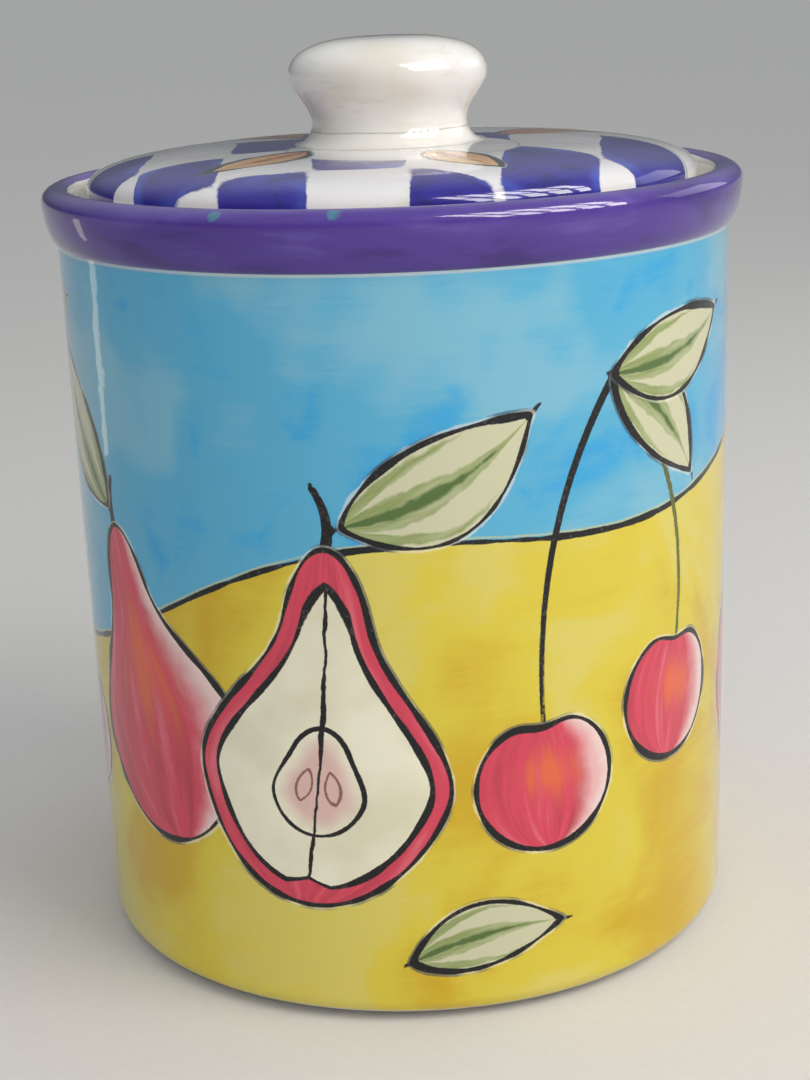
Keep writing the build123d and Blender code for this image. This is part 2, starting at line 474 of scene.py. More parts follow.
class Shader:
    """The node tree of one material or world, filled a node at a time."""

    def __init__(self, name: str, library: str = "materials", coordinates: str = "Object") -> None:
        """Start an empty tree with its texture coordinates.

        Args:
            name: of the material or world.
            library: where in bpy.data it is kept.
            coordinates: the output that its textures use.
        """
        self.holder = getattr(bpy.data, library).new(name)
        self.holder.use_nodes = True
        self.tree = self.holder.node_tree
        self.tree.nodes.clear()
        self.place = self.add(Node.COORDINATES, output=coordinates)

    def add(self, node: Node, *inputs: object, output: str = "", **named: object) -> Socket | None:
        """Add a node with its settings and links.

        Args:
            node: its kind.
            inputs: for its live inputs in order, a socket to link from, or a value or hex colour to set.
            output: the output wanted, if it isn't the first live one.
            named: more inputs, and properties of the node itself.

        Returns:
            The output, or None if the node has none.
        """
        kind, *setting = node.value
        made = self.tree.nodes.new(kind)
        if setting:
            setattr(made, *setting)
        given = list(zip([socket for socket in made.inputs if socket.enabled], inputs))
        for name, value in named.items():
            if name in made.inputs:
                given.append((made.inputs[name], value))
            else:
                setattr(made, name, value)
        for socket, value in given:
            if isinstance(value, Socket):
                self.tree.links.new(value, socket)
            else:
                socket.default_value = linear(value) if isinstance(value, str) else value
        if output:
            return made.outputs[output]
        return next((socket for socket in made.outputs if socket.enabled), None)

    def drawn_noise(self, place: Socket, scales: Triple, detail: float, distortion: float) -> Socket:
        """Noise with a scale of its own along each axis, drawn out as a brush or a run of glaze leaves it."""
        drawn = self.add(Node.V_TIMES, place, scales)
        return self.add(Node.NOISE, drawn, 1.0, detail, Distortion=distortion)

    def radius(self) -> Socket:
        """Distance from the object's axis in metres."""
        flat = self.add(Node.V_TIMES, self.place, (1.0, 1.0, 0.0))
        return self.add(Node.V_LENGTH, flat, output="Value")

    def finish(self, colour: Socket, roughness: float, normal: Socket, glazed: bool = True) -> Material:
        """Close the tree with the clay body under its clear glaze.

        Args:
            colour: what the paint and the clay show.
            roughness: of the layer under the clear coat.
            normal: the glaze's own unevenness.
            glazed: whether there is a clear coat; without it the clay is bare.

        Returns:
            The material.
        """
        body = {"Base Color": colour, "Roughness": roughness, "Normal": normal, "IOR": 1.5}
        if glazed:
            body |= {"Coat Weight": 1.0, "Coat Roughness": 0.02, "Coat IOR": 1.42, "Coat Normal": normal}
            body |= {"Specular IOR Level": 0.05}
        self.add(Node.OUTPUT, self.add(Node.PRINCIPLED, **body))
        return self.holder


def level_scales(around: float, up: float) -> Triple:
    """Noise scales, per metre, of features this many mm long around the pot and this many mm high."""
    return (per_mm(around), per_mm(around), per_mm(up))


@dataclass(frozen=True)
class Glaze:
    """Clear glaze over earthenware, dipped and fired: a wet, slightly uneven gloss with rare pits."""

    wave: float = 26.0          # mm from crest to crest of its slow unevenness
    ripple: float = 5.0         # mm, its finer orange peel
    wave_height: float = 0.25   # mm
    ripple_height: float = 0.05     # mm
    pit_spacing: float = 24.0   # mm between pinholes, of which few are open
    pit_radius: float = 0.35    # mm
    healed: float = 0.72        # share of the pinholes that closed in the firing
    under_roughness: float = 0.28

    def normal(self, shader: Shader) -> Socket:
        """Bump of the glaze: slow waves and fine ripple added up as true heights."""
        wave = shader.add(Node.NOISE, shader.place, per_mm(self.wave), 1.0)
        ripple = shader.add(Node.NOISE, shader.place, per_mm(self.ripple), 2.0)
        high = shader.add(Node.TIMES, wave, self.wave_height * MM)
        height = shader.add(Node.TIMES_PLUS, ripple, self.ripple_height * MM, high)
        return shader.add(Node.BUMP, Height=height, Strength=1.0, Distance=1.0)

    def pits(self, shader: Shader) -> Socket:
        """Mask of the few open pinholes, 1 in a pit."""
        cell = shader.add(Node.VORONOI, shader.place, per_mm(self.pit_spacing))
        chance = shader.add(Node.SEPARATE, cell.node.outputs["Color"])
        size = self.pit_radius / self.pit_spacing
        hole = shader.add(Node.SMOOTH, cell, size, size * 0.4)
        return shader.add(Node.TIMES, hole, shader.add(Node.MORE, chance, self.healed))

    def over(self, shader: Shader, colour: Socket, pit: str | None = None) -> Material:
        """Close a material with this glaze over its colour, with pits if a colour is given for them."""
        if pit:
            colour = shader.add(Node.MIX, self.pits(shader), colour, pit)
        return shader.finish(colour, self.under_roughness, self.normal(shader))


@dataclass(frozen=True)
class Brush:
    """Liner brush loaded with black underglaze: uneven in width, ragged at its edges, dry in places."""

    colour: str = "#08090c"
    dry: str = "#5a5654"
    thin: str = "#36434f"
    halo: str = "#ebe6d2"
    swell: float = 13.0         # mm along the line between thick and thin
    half: Ramp = (0.32, 0.68, 0.3, 0.8)     # shares of the stroke's width, from a thin line to a thick one
    thirst: Ramp = (0.6, 0.4, 0.0, -0.1)    # how much sooner a thin line breaks up
    specks: Ramp = (0.6, 0.8, 0.0, 0.6)
    full: Ramp = (0.44, 0.58, 0.0, 0.7)     # where the brush is full enough to leave a second edge
    grain: float = 0.9          # mm, size of the gaps that a drying brush leaves
    raggedness: float = 0.34    # mm that the edge wanders
    edge: Ramp = (-0.1, 0.14)   # mm, how soft the edge is


class Liner:
    """A Brush at work in one material: its unevenness is worked out once, and all its strokes share it."""

    def __init__(self, shader: Shader, brush: Brush) -> None:
        """Work out the swelling of the line, its ragged edge and its ink."""
        self.add, self.brush = shader.add, brush
        self.load = self.add(Node.NOISE, shader.place, per_mm(brush.swell), 1.0)
        self.half = self.add(Node.RANGE, self.load, *brush.half)
        grain = self.add(Node.NOISE, shader.place, per_mm(brush.grain), 3.0)
        self.rag = self.add(Node.TIMES_PLUS, grain, brush.raggedness, -0.5 * brush.raggedness)
        thirsty = self.add(Node.MINUS, grain, self.add(Node.RANGE, self.load, *brush.thirst))
        specks = self.add(Node.RANGE, thirsty, *brush.specks)
        self.ink = self.add(Node.MIX, specks, brush.colour, brush.dry)

    def stroke(self, distance: Socket, width: float) -> Socket:
        """Mask of a stroke along the line where distance is 0.

        Args:
            distance: signed distance to the line in mm.
            width: mean width of the stroke in mm.

        Returns:
            1 on the stroke, 0 off it, with a ragged edge between.
        """
        off = self.add(Node.ABSOLUTE, distance)
        half = self.add(Node.TIMES_PLUS, self.half, width, self.rag)
        return self.add(Node.SMOOTH, self.add(Node.MINUS, half, off), *self.brush.edge)

    def fringe(self, distance: Socket, width: float) -> Socket:
        """Mask of the dry second stroke that runs along the outside of the first where the brush was full."""
        beside = self.add(Node.MINUS, distance, 0.72 * width)
        full = self.add(Node.RANGE, self.load, *self.brush.full)
        return self.add(Node.TIMES, self.stroke(beside, 0.62 * width), full)


@dataclass(frozen=True)
class FruitColours:
    """Underglaze colours of leaves and fruit, brushed on thin so that they streak."""

    skin: str = "#d5445a"
    skin_deep: str = "#b83a4d"
    skin_light: str = "#e4848e"
    blush: str = "#e8703a"
    fade: str = "#efd9d2"
    flesh: str = "#f0ebd2"
    flesh_shade: str = "#e0dabd"
    core: str = "#ddb3ab"
    seed: str = "#8f6259"
    leaf: str = "#cccaa9"
    leaf_lobe: str = "#8b9a5c"
    leaf_rib: str = "#49662f"
    stem_olive: str = "#5c6128"


@dataclass(frozen=True)
class BrushedShapes:
    """Colours one surface's stems, leaves and fruit over the ground below them.

    Across is a share of a shape's half-width, and along goes from 0 at its foot to 1 at its tip.
    """

    brush: Brush = field(default_factory=Brush)
    colours: FruitColours = field(default_factory=FruitColours)
    line_width: float = 1.3         # mm, outlines of leaves and fruit
    inner_width: float = 0.95       # mm, lines inside a cut fruit
    seed_width: float = 0.7         # mm, outlines of its seeds
    band: float = 4.6               # mm of skin shown around a cut fruit
    band_edge: Ramp = (-0.3, 0.3)   # mm
    notch: Ramp = (0.0, 6.0, 2.6, 0.0)      # mm off the middle line, and mm that the skin dips in there
    tremor: float = 5.0             # mm, size of the hand's wandering
    stem_edge: Ramp = (0.12, -0.12)     # mm
    halo: Ramp = (2.1, 1.75, 0.0, 0.5)      # mm outside a shape where the ground's wash stops
    halo_wander: float = 1.8        # mm
    shore: Ramp = (0.2, -0.3)       # mm, where its own wash stops
    wash_wander: Pair = (1.6, -0.85)    # mm that it strays from the outline, and where that starts
    side_wander: Pair = (0.26, -0.13)   # across, the same for the marks on a leaf
    middle: Ramp = (0.05, 0.95, 0.5, 0.06)  # along a leaf, and how far across its dark middle reaches
    crescent: Pair = (0.62, 0.44)   # across, the slope and start of a crescent's inner side
    lobe_edge: Ramp = (-0.03, 0.05)
    lobe_end: Ramp = (0.93, 0.84)   # across, where a crescent stops before the outline
    lobe_streaks: Ramp = (0.32, 0.6, 0.5, 1.0)
    rib: Ramp = (0.0, 0.82, 0.14, 0.0)      # along a leaf, and half the width of its rib across
    rib_edge: Ramp = (-0.07, 0.02, 0.0, 0.92)
    rib_end: Ramp = (0.84, 0.76)    # along, where the rib stops before the tip
    deep: Ramp = (0.3, 0.52)
    gleam: Ramp = (0.55, 0.8, 0.0, 0.8)
    blush_middle: Triple = (0.05, 0.0, 0.56)    # across and along
    blush_spread: Triple = (1.1, 0.0, 2.4)      # how fast it fades across and along
    blush_streak: float = 1.7
    warm: Ramp = (1.5, 0.85, 0.0, 0.75)
    fade: Ramp = (0.5, 1.12, 0.0, 0.94)     # across, from full colour to bare slip at the right
    fade_wander: float = 0.24       # across
    swerve: Pair = (1.6, 0.8)       # mm that the middle line wanders, and its mean
    flesh_cloud: float = 20.0       # mm
    flesh_shade: Ramp = (0.35, 0.6)
    pink: Ramp = (1.6, -4.5, 0.0, 0.9)      # mm from the core's outline
    pink_wander: float = 3.0        # mm

    def paint(self, shader: Shader, ground: Socket) -> Socket:
        """Paint stems, then the back coat, then the front coat.

        Args:
            shader: the material's tree, on a mesh that holds a Painting's values.
            ground: colour below.

        Returns:
            The colour with everything painted on it.
        """
        liner = Liner(shader, self.brush)
        colour = self.stems(shader, ground, liner)
        for coat in Coat:
            colour = self.coat(shader, coat, colour, liner)
        return colour

    def stems(self, shader: Shader, ground: Socket, liner: Liner) -> Socket:
        """Stems over the ground, black or olive."""
        names = ("stem_edge", "stem_tone")
        edge, tone = (shader.add(Node.ATTRIBUTE, attribute_name=name, output="Fac") for name in names)
        mask = shader.add(Node.SMOOTH, shader.add(Node.MINUS, edge, liner.rag), *self.stem_edge)
        paint = shader.add(Node.MIX, tone, liner.ink, self.colours.stem_olive)
        return shader.add(Node.MIX, mask, ground, paint)

    def coat(self, shader: Shader, coat: Coat, below: Socket, liner: Liner) -> Socket:
        """One coat of leaves and fruit: a bare halo, the colours and then the outlines."""
        add = shader.add
        edge, kind, place, inner = (
            add(Node.ATTRIBUTE, attribute_name=f"{coat.value}_{name}", output=output)
            for name, output in (("edge", "Fac"), ("kind", "Fac"), ("place", "Vector"), ("inner", "Vector"))
        )
        wander = add(Node.NOISE, shader.place, per_mm(self.tremor), 3.0)
        skin = self.skin(shader, place)
        leaf, whole = self.leaf(shader, place, wander), self.faded(shader, place, wander, skin)
        halved = self.halved(shader, edge, inner, wander, skin, liner)
        fill = add(Node.MIX, add(Node.MORE, kind, Kind.LEAF.value + 0.5), leaf, whole)
        fill = add(Node.MIX, add(Node.MORE, kind, Kind.WHOLE_FRUIT.value + 0.5), fill, halved)
        outside = add(Node.TIMES_PLUS, wander, self.halo_wander, edge)
        colour = add(Node.MIX, add(Node.RANGE, outside, *self.halo), below, self.brush.halo)
        colour = add(Node.MIX, liner.fringe(edge, self.line_width), colour, self.brush.thin)
        loose = add(Node.TIMES_PLUS, wander, *self.wash_wander)
        inside = add(Node.SMOOTH, add(Node.PLUS, edge, loose), *self.shore)
        colour = add(Node.MIX, inside, colour, fill)
        return add(Node.MIX, liner.stroke(edge, self.line_width), colour, liner.ink)

    def streaks(self, shader: Shader, place: Socket, across: float, along: float) -> Socket:
        """Noise drawn out along a shape's outline, as hairs of a brush leave it.

        Args:
            shader: the material's tree.
            place: across the shape in shares of its half-width, and along it in mm.
            across: streaks from the axis to the outline.
            along: length of a streak in mm.

        Returns:
            The noise.
        """
        return shader.drawn_noise(place, (across, 1 / along, 0.0), 4.0, 0.25)

    def leaf(self, shader: Shader, place: Socket, wander: Socket) -> Socket:
        """Pale leaf: sage along the middle and in a crescent down each side, and a dark rib that tapers."""
        add = shader.add
        parts = add(Node.SEPARATE, place)
        along = parts.node.outputs["Z"]
        rough = add(Node.TIMES_PLUS, wander, *self.side_wander)
        side = add(Node.PLUS, add(Node.ABSOLUTE, parts), rough)
        in_middle = add(Node.MINUS, add(Node.RANGE, along, *self.middle), side)
        band = add(Node.SMOOTH, in_middle, *self.lobe_edge)
        past = add(Node.MINUS, side, add(Node.TIMES_PLUS, along, *self.crescent))
        before = add(Node.SMOOTH, side, *self.lobe_end)
        crescent = add(Node.TIMES, add(Node.SMOOTH, past, *self.lobe_edge), before)
        lobe = add(Node.MOST, band, crescent)
        streak = self.streaks(shader, place, across=6.0, along=16.0)
        body = add(Node.TIMES, lobe, add(Node.RANGE, streak, *self.lobe_streaks))
        green = add(Node.MIX, body, self.colours.leaf, self.colours.leaf_lobe)
        rib = add(Node.SMOOTH, add(Node.MINUS, add(Node.RANGE, along, *self.rib), side), *self.rib_edge)
        rib = add(Node.TIMES, rib, add(Node.RANGE, along, *self.rib_end))
        return add(Node.MIX, rib, green, self.colours.leaf_rib)

    def skin(self, shader: Shader, place: Socket) -> Socket:
        """Rose-red skin, streaked along the outline and blushed with orange in the middle."""
        add, colours = shader.add, self.colours
        streak = self.streaks(shader, place, across=5.0, along=34.0)
        red = add(Node.MIX, add(Node.RANGE, streak, *self.deep), colours.skin_deep, colours.skin)
        red = add(Node.MIX, add(Node.RANGE, streak, *self.gleam), red, colours.skin_light)
        away = add(Node.V_MINUS, place, self.blush_middle)
        far = add(Node.V_LENGTH, add(Node.V_TIMES, away, self.blush_spread), output="Value")
        ragged = add(Node.TIMES_PLUS, streak, self.blush_streak, far)
        return add(Node.MIX, add(Node.SMOOTH, ragged, *self.warm), red, colours.blush)

    def faded(self, shader: Shader, place: Socket, wander: Socket, skin: Socket) -> Socket:
        """Skin of a whole fruit, thinned out to the white slip down its right side."""
        edge = shader.add(Node.TIMES_PLUS, wander, self.fade_wander, shader.add(Node.SEPARATE, place))
        return shader.add(Node.MIX, shader.add(Node.SMOOTH, edge, *self.fade), skin, self.colours.fade)

    def halved(
        self, shader: Shader, edge: Socket, inner: Socket, wander: Socket, skin: Socket, liner: Liner
    ) -> Socket:
        """Cut fruit: a rim of skin, cream flesh, a line down the middle, a pink core and two seeds."""
        add, colours = shader.add, self.colours
        cloud = add(Node.NOISE, shader.place, per_mm(self.flesh_cloud), 2.0)
        colour = add(Node.MIX, add(Node.RANGE, cloud, *self.flesh_shade), colours.flesh_shade, colours.flesh)
        cores = add(Node.SEPARATE, inner)
        seeds, middle = cores.node.outputs["Y"], cores.node.outputs["Z"]
        blur = add(Node.TIMES_PLUS, wander, self.pink_wander, cores)
        colour = add(Node.MIX, add(Node.SMOOTH, blur, *self.pink), colour, colours.core)
        colour = add(Node.MIX, liner.stroke(seeds, self.seed_width), colour, colours.seed)
        by, mean = self.swerve
        swerved = add(Node.MINUS, add(Node.TIMES_PLUS, wander, by, middle), mean)
        lines = [liner.stroke(at, self.inner_width) for at in (swerved, cores)]
        colour = add(Node.MIX, add(Node.MOST, *lines), colour, liner.ink)
        notch = add(Node.RANGE, add(Node.ABSOLUTE, middle), *self.notch)
        skin_edge = add(Node.PLUS, add(Node.PLUS, edge, self.band), notch)
        colour = add(Node.MIX, add(Node.RANGE, skin_edge, *self.band_edge), colour, skin)
        return add(Node.MIX, liner.stroke(skin_edge, self.line_width), colour, liner.ink)


@dataclass(frozen=True)
class LandscapeGlaze:
    """Blue over yellow underglaze washes on white clay slip, outlined in black under a clear glaze."""

    sky: str = "#58add1"
    sky_strong: str = "#2a9fd8"
    sky_pale: str = "#82bcd0"
    sky_lean: float = 1.3           # per metre to the right, how much more of the stronger blue
    field_yellow: str = "#dac63e"
    field_pale: str = "#dacb66"
    field_ochre: str = "#cda51a"
    slip: str = "#e8e4da"
    pit: str = "#8a7a50"
    sky_patch: float = 34.0         # mm, clouds of thin and thick wash
    pale: Ramp = (0.58, 0.4, 0.0, 0.75)
    dab: float = 17.0               # mm, dabs of stronger blue
    strong: Ramp = (1.17, 1.46, 0.0, 0.85)
    field_patch: float = 44.0       # mm
    pooled: Ramp = (0.53, 0.72, 0.0, 0.85)
    thinned: Ramp = (0.53, 0.4, 0.0, 0.85)
    hairs: Pair = (15.0, 1.5)       # mm, a mark of the wash brush: its length and its width
    hill_line: float = 1.3          # mm
    hill_edge: Ramp = (-0.5, 0.5)   # mm, between field and sky
    top_gap: Pair = (0.9, 0.5)      # mm under the rim where the painting thins out
    inner_gap: Pair = (0.4, -0.2)   # mm outside the inner edge where the plain glaze begins
    glaze: Glaze = field(default_factory=Glaze)
    shapes: BrushedShapes = field(default_factory=BrushedShapes)

    def material(self, inner_edge: float, top_edge: float) -> Material:
        """Build the wall's material.

        Args:
            inner_edge: radius in mm inside which the clay is plain white glaze.
            top_edge: level in mm where the painting stops under the rim.

        Returns:
            The material.
        """
        shader = Shader("painted_earthenware_clear_glaze")
        hill = shader.add(Node.ATTRIBUTE, attribute_name="hill_edge", output="Fac")
        colour = self.shapes.paint(shader, self.ground(shader, hill))
        level = shader.add(Node.SEPARATE, shader.place, output="Z")
        ends = [(top_edge - gap) * MM for gap in self.top_gap]
        colour = shader.add(Node.MIX, shader.add(Node.RANGE, level, *ends, 0.0, 0.55), colour, self.slip)
        ends = [(inner_edge + gap) * MM for gap in self.inner_gap]
        colour = shader.add(Node.MIX, shader.add(Node.RANGE, shader.radius(), *ends), colour, self.slip)
        return self.glaze.over(shader, colour, self.pit)

    def ground(self, shader: Shader, hill: Socket) -> Socket:
        """Clouded sky above the hill line, clouded field below it, and the brushed line itself."""
        hairs = shader.drawn_noise(shader.place, level_scales(*self.hairs), 3.0, 0.8)
        side = shader.add(Node.RANGE, hill, *self.hill_edge)
        ground = shader.add(Node.MIX, side, self.field_wash(shader, hairs), self.sky_wash(shader, hairs))
        liner = Liner(shader, self.shapes.brush)
        outside = shader.add(Node.MINUS, hill, 0.7 * self.hill_line)
        bare = shader.add(Node.TIMES, liner.stroke(outside, 0.5 * self.hill_line), 0.5)
        ground = shader.add(Node.MIX, bare, ground, self.field_pale)
        return shader.add(Node.MIX, liner.stroke(hill, self.hill_line), ground, liner.ink)

    def sky_wash(self, shader: Shader, hairs: Socket) -> Socket:
        """Blue wash with paler clouds, brushy dabs of stronger blue and the marks of the brush."""
        add = shader.add
        cloud = add(Node.NOISE, shader.place, per_mm(self.sky_patch), 2.0, Distortion=0.3)
        mixed = add(Node.TIMES_PLUS, hairs, 0.13, cloud)
        sky = add(Node.MIX, add(Node.SMOOTH, mixed, *self.pale), self.sky, self.sky_pale)
        dab = add(Node.NOISE, shader.place, per_mm(self.dab), 3.0, Distortion=0.6)
        dab = add(Node.TIMES_PLUS, hairs, 0.22, add(Node.PLUS, dab, cloud))
        dab = add(Node.TIMES_PLUS, add(Node.SEPARATE, shader.place), self.sky_lean, dab)
        return add(Node.MIX, add(Node.SMOOTH, dab, *self.strong), sky, self.sky_strong)

    def field_wash(self, shader: Shader, hairs: Socket) -> Socket:
        """Yellow wash, ochre where it pooled and pale where it ran thin."""
        add = shader.add
        pool = add(Node.NOISE, shader.place, per_mm(self.field_patch), 3.0, Distortion=0.6)
        pool = add(Node.TIMES_PLUS, hairs, 0.1, pool)
        land = add(Node.MIX, add(Node.SMOOTH, pool, *self.pooled), self.field_yellow, self.field_ochre)
        return add(Node.MIX, add(Node.SMOOTH, pool, *self.thinned), land, self.field_pale)


@dataclass(frozen=True)
class CheckGlaze:
    """Blue checks brushed by eye on the white lid, with a thin line that closes them off before the edge."""

    blue: str = "#2a218a"
    blue_deep: str = "#1d1868"
    blue_wash: str = "#4256b8"
    white: str = "#e2dfdf"
    tinge: str = "#c6cba4"
    line: str = "#3f4350"
    drift: float = 17.0             # mm, size of the waves in a check's sides
    drift_by: Triple = (0.13, 0.08, 1.6)    # columns, rows and mm of border that they move
    check_grain: float = 1.4        # mm
    check_edge: Ramp = (0.015, 0.05)
    border_edge: Ramp = (0.2, -0.2)     # mm
    smear: float = 24.0             # mm
    greenish: Ramp = (0.62, 0.76, 0.0, 0.6)
    line_out: float = 0.6           # mm from the border to the middle of its line
    line_edge: Ramp = (0.26, 0.1, 0.0, 0.7)     # mm
    wash: float = 9.0               # mm, pools of the blue wash
    deep: Ramp = (0.5, 0.34, 0.0, 0.85)
    thin_side: Ramp = (0.8, 0.4)
    thin_patch: Ramp = (0.48, 0.64, 0.0, 0.85)
    glaze: Glaze = field(default_factory=Glaze)
    shapes: BrushedShapes = field(default_factory=BrushedShapes)

    def material(self) -> Material:
        """Build the lid's material, on a mesh that holds check_place: column, row and mm past the border."""
        shader = Shader("checked_earthenware_clear_glaze")
        add = shader.add
        place = add(Node.ATTRIBUTE, attribute_name="check_place", output="Vector")
        drift = add(Node.NOISE, shader.place, per_mm(self.drift), 1.5)
        shaken = add(Node.V_MINUS, drift.node.outputs["Color"], (0.5, 0.5, 0.5))
        parts = add(Node.SEPARATE, add(Node.V_TIMES_PLUS, shaken, self.drift_by, place))
        row, border = parts.node.outputs["Y"], parts.node.outputs["Z"]
        across, along = (add(Node.SINE, add(Node.TIMES, count, math.pi)) for count in (parts, row))
        product = add(Node.TIMES, across, along)
        grain = add(Node.NOISE, shader.place, per_mm(self.check_grain), 3.0)
        check = add(Node.SMOOTH, add(Node.TIMES_PLUS, grain, 0.04, product), *self.check_edge)
        check = add(Node.TIMES, check, add(Node.RANGE, border, *self.border_edge))
        smear = add(Node.NOISE, shader.place, per_mm(self.smear), 3.0, Distortion=1.0)
        white = add(Node.MIX, add(Node.RANGE, smear, *self.greenish), self.white, self.tinge)
        colour = add(Node.MIX, check, white, self.blue_wash_over(shader, product, drift))
        off = add(Node.ABSOLUTE, add(Node.MINUS, border, self.line_out))
        colour = add(Node.MIX, add(Node.RANGE, off, *self.line_edge), colour, self.line)
        return self.glaze.over(shader, self.shapes.paint(shader, colour))

    def blue_wash_over(self, shader: Shader, product: Socket, drift: Socket) -> Socket:
        """Blue of one check: deep where the wash lay thick, thinned towards some of its sides."""
        add = shader.add
        wash = add(Node.NOISE, shader.place, per_mm(self.wash), 4.0, Distortion=0.6)
        blue = add(Node.MIX, add(Node.SMOOTH, wash, *self.deep), self.blue, self.blue_deep)
        side = add(Node.SMOOTH, add(Node.TIMES_PLUS, wash, 0.7, product), *self.thin_side)
        thin = add(Node.TIMES, side, add(Node.RANGE, drift, *self.thin_patch))
        return add(Node.MIX, thin, blue, self.blue_wash)


@dataclass(frozen=True)
class PurpleGlaze:
    """Purple underglaze brushed around the rim in two coats under clear glaze: cloudy, with green flecks."""

    purple: str = "#50398f"
    deep: str = "#3f2b76"
    light: str = "#6250a2"
    fleck: str = "#3f8a8c"
    white: str = "#e6e2d8"
    brushed: Pair = (34.0, 7.0)     # mm, length and height of the coats' clouds
    deepest: Ramp = (0.5, 0.32, 0.0, 0.8)
    lightest: Ramp = (0.52, 0.7, 0.0, 0.8)
    fleck_radius: float = 1.9       # mm
    fleck_grain: float = 1.5        # mm
    fleck_wander: Pair = (2.4, 1.2)     # mm that a fleck's edge wanders, and its mean
    fleck_edge: float = 0.9         # mm
    flecks: tuple[Triple, ...] = (      # degrees from the front, radius and level in mm
        (-26.5, 90.2, 201.5),
        (-8.5, 89.5, 201.9),
        (71.0, 90.8, 193.0),
        (164.0, 90.0, 201.3),
    )
    wander: Pair = (14.0, 1.1)      # mm, size and depth of the waves where the purple stops inside
    inner_gap: Pair = (1.5, 1.3)    # mm outside the inner edge
    glaze: Glaze = field(default_factory=Glaze)

    def material(self, inner_edge: float) -> Material:
        """Build the rim's material, white inside this radius in mm."""
        shader = Shader("purple_earthenware_clear_glaze")
        add = shader.add
        brushed = shader.drawn_noise(shader.place, level_scales(*self.brushed), 4.0, 0.4)
        colour = add(Node.MIX, add(Node.SMOOTH, brushed, *self.deepest), self.purple, self.deep)
        colour = add(Node.MIX, add(Node.SMOOTH, brushed, *self.lightest), colour, self.light)
        grain = add(Node.NOISE, shader.place, per_mm(self.fleck_grain), 2.0)
        by, mean = self.fleck_wander
        reach = (self.fleck_radius + mean) * MM
        for turn, radius, level in self.flecks:
            angle = math.radians(turn)
            middle = (radius * math.sin(angle) * MM, -radius * math.cos(angle) * MM, level * MM)
            away = add(Node.V_APART, shader.place, middle, output="Value")
            away = add(Node.TIMES_PLUS, grain, by * MM, away)
            fleck = add(Node.RANGE, away, reach, reach - self.fleck_edge * MM, 0.0, 0.7)
            colour = add(Node.MIX, fleck, colour, self.fleck)
        size, depth = self.wander
        wave = add(Node.NOISE, shader.place, per_mm(size), 1.5)
        shaken = add(Node.TIMES_PLUS, wave, depth * MM, shader.radius())
        ends = [(inner_edge + gap) * MM for gap in self.inner_gap]
        return self.glaze.over(shader, add(Node.MIX, add(Node.RANGE, shaken, *ends), colour, self.white))


@dataclass(frozen=True)
class WhiteGlaze:
    """White slip under clear glaze: creamy where it is thick, with a breath of green and rare iron specks."""

    white: str = "#ebe8e2"
    cream: str = "#e2dcd0"
    tinge: str = "#c9cfb4"
    speck: str = "#a58f6c"
    line: str = "#6a6b58"
    pool: float = 22.0              # mm
    creamy: Ramp = (0.42, 0.66)
    smears: Pair = (13.0, 3.0)      # mm, their length and height
    greenish: Ramp = (0.6, 0.78, 0.0, 0.6)
    line_half: float = 0.28         # mm
    line_waver: Pair = (1.6, 0.8)   # mm that a brushed line wavers, and its mean
    glaze: Glaze = field(default_factory=Glaze)

    def material(self, line_level: float | None = None) -> Material:
        """Build the material, with a thin line brushed around at this level in mm if one is given."""
        shader = Shader("white_earthenware_clear_glaze")
        add = shader.add
        pool = add(Node.NOISE, shader.place, per_mm(self.pool), 3.0)
        colour = add(Node.MIX, add(Node.RANGE, pool, *self.creamy), self.white, self.cream)
        smear = shader.drawn_noise(shader.place, level_scales(*self.smears), 3.0, 0.6)
        colour = add(Node.MIX, add(Node.RANGE, smear, *self.greenish), colour, self.tinge)
        if line_level is not None:
            by, mean = self.line_waver
            waver = add(Node.TIMES_PLUS, pool, by * MM, add(Node.SEPARATE, shader.place, output="Z"))
            off = add(Node.ABSOLUTE, add(Node.MINUS, waver, (line_level + mean) * MM))
            ring = add(Node.RANGE, off, self.line_half * MM, 0.2 * self.line_half * MM, 0.0, 0.45)
            colour = add(Node.MIX, ring, colour, self.line)
        return self.glaze.over(shader, colour, self.speck)


@dataclass(frozen=True)
class BiscuitClay:
    """Bare fired earthenware where the foot was wiped: warm, matt and gritty, rubbed grey where it stands."""

    clay: str = "#d8c5a4"
    rubbed: str = "#b3a48b"
    grit: str = "#8d7454"
    cloud: float = 8.0              # mm
    worn: Ramp = (0.45, 0.7, 0.0, 0.8)
    grit_size: float = 0.6          # mm
    grit_height: float = 0.12       # mm
    gritty: Ramp = (0.66, 0.72, 0.0, 0.7)

    def material(self) -> Material:
        """Build the material."""
        shader = Shader("bare_biscuit_clay")
        add = shader.add
        cloud = add(Node.NOISE, shader.place, per_mm(self.cloud), 4.0)
        colour = add(Node.MIX, add(Node.RANGE, cloud, *self.worn), self.clay, self.rubbed)
        grains = add(Node.NOISE, shader.place, per_mm(self.grit_size), 2.0)
        colour = add(Node.MIX, add(Node.RANGE, grains, *self.gritty), colour, self.grit)
        height = add(Node.TIMES, grains, self.grit_height * MM)
        normal = add(Node.BUMP, Height=height, Strength=0.8, Distance=1.0)
        return shader.finish(colour, 0.85, normal, glazed=False)


# --- The jar ---


def corner(node: str) -> tuple[np.ndarray, np.ndarray]:
    """Lowest and highest corner of a CAD node in mm."""
    low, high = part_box(node)
    return np.array(low) / MM, np.array(high) / MM


def dress(piece: bpy.types.Object, body: str, node: str, material: Material) -> None:
    """Give a piece its finish, hang it on its body's empty and hide the CAD node that it stands in for."""
    piece.data.materials.append(material)
    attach(piece, body)
    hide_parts(node)
    LOG.info("%s: %d faces, %s", piece.name, len(piece.data.polygons), material.name)


